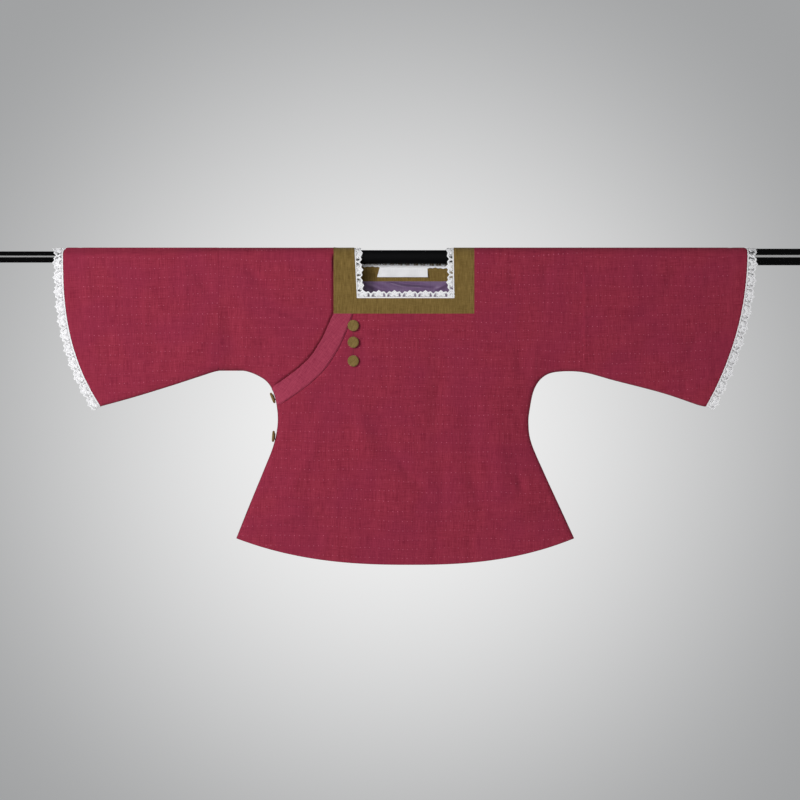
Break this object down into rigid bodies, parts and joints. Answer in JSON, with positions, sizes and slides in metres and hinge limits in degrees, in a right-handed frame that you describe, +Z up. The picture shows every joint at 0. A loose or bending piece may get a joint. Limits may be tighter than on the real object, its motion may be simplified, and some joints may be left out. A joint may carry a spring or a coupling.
{
  "type": "bell sleeve top on a rod",
  "caption": "Short cloth top with wide bell sleeves, a square neck band, a curved side opening, covered buttons and lace edging, hung through both sleeves on a stepped rod.",
  "frame": {"origin": "on the rod's axis, at the middle of the square neck, where the rod holds the garment up", "axes": "+X along the rod to the viewer's right as the front is seen, +Y from the front to the back, +Z up"},
  "size_m": [1.36, 0.038, 0.5095],
  "materials": {
    "red_cloth": "matt cotton with thick and thin threads and rows of small raised dots",
    "olive_cloth": "matt ribbed cotton",
    "plum_lining": "soft satin lining",
    "white_lace": "fine white cotton lace",
    "white_label": "close-woven bare tape",
    "rod_finish": "gloss black"
  },
  "bodies": {
    "root": {"rod": "rod_finish", "sleeve_left": "red_cloth", "sleeve_right": "red_cloth", "back": "red_cloth", "front": "red_cloth", "under_front": "red_cloth", "opening_facing": "red_cloth", "neck_band": "olive_cloth", "cuff_lace_left": "white_lace", "cuff_lace_right": "white_lace", "neck_lace": "white_lace", "back_neck_lace": "white_lace", "label": "white_label", "back_lining": "plum_lining", "chest_button_1": "olive_cloth", "chest_button_2": "olive_cloth", "chest_button_3": "olive_cloth", "side_button_1": "olive_cloth", "side_button_2": "olive_cloth"}
  },
  "joints": []
}
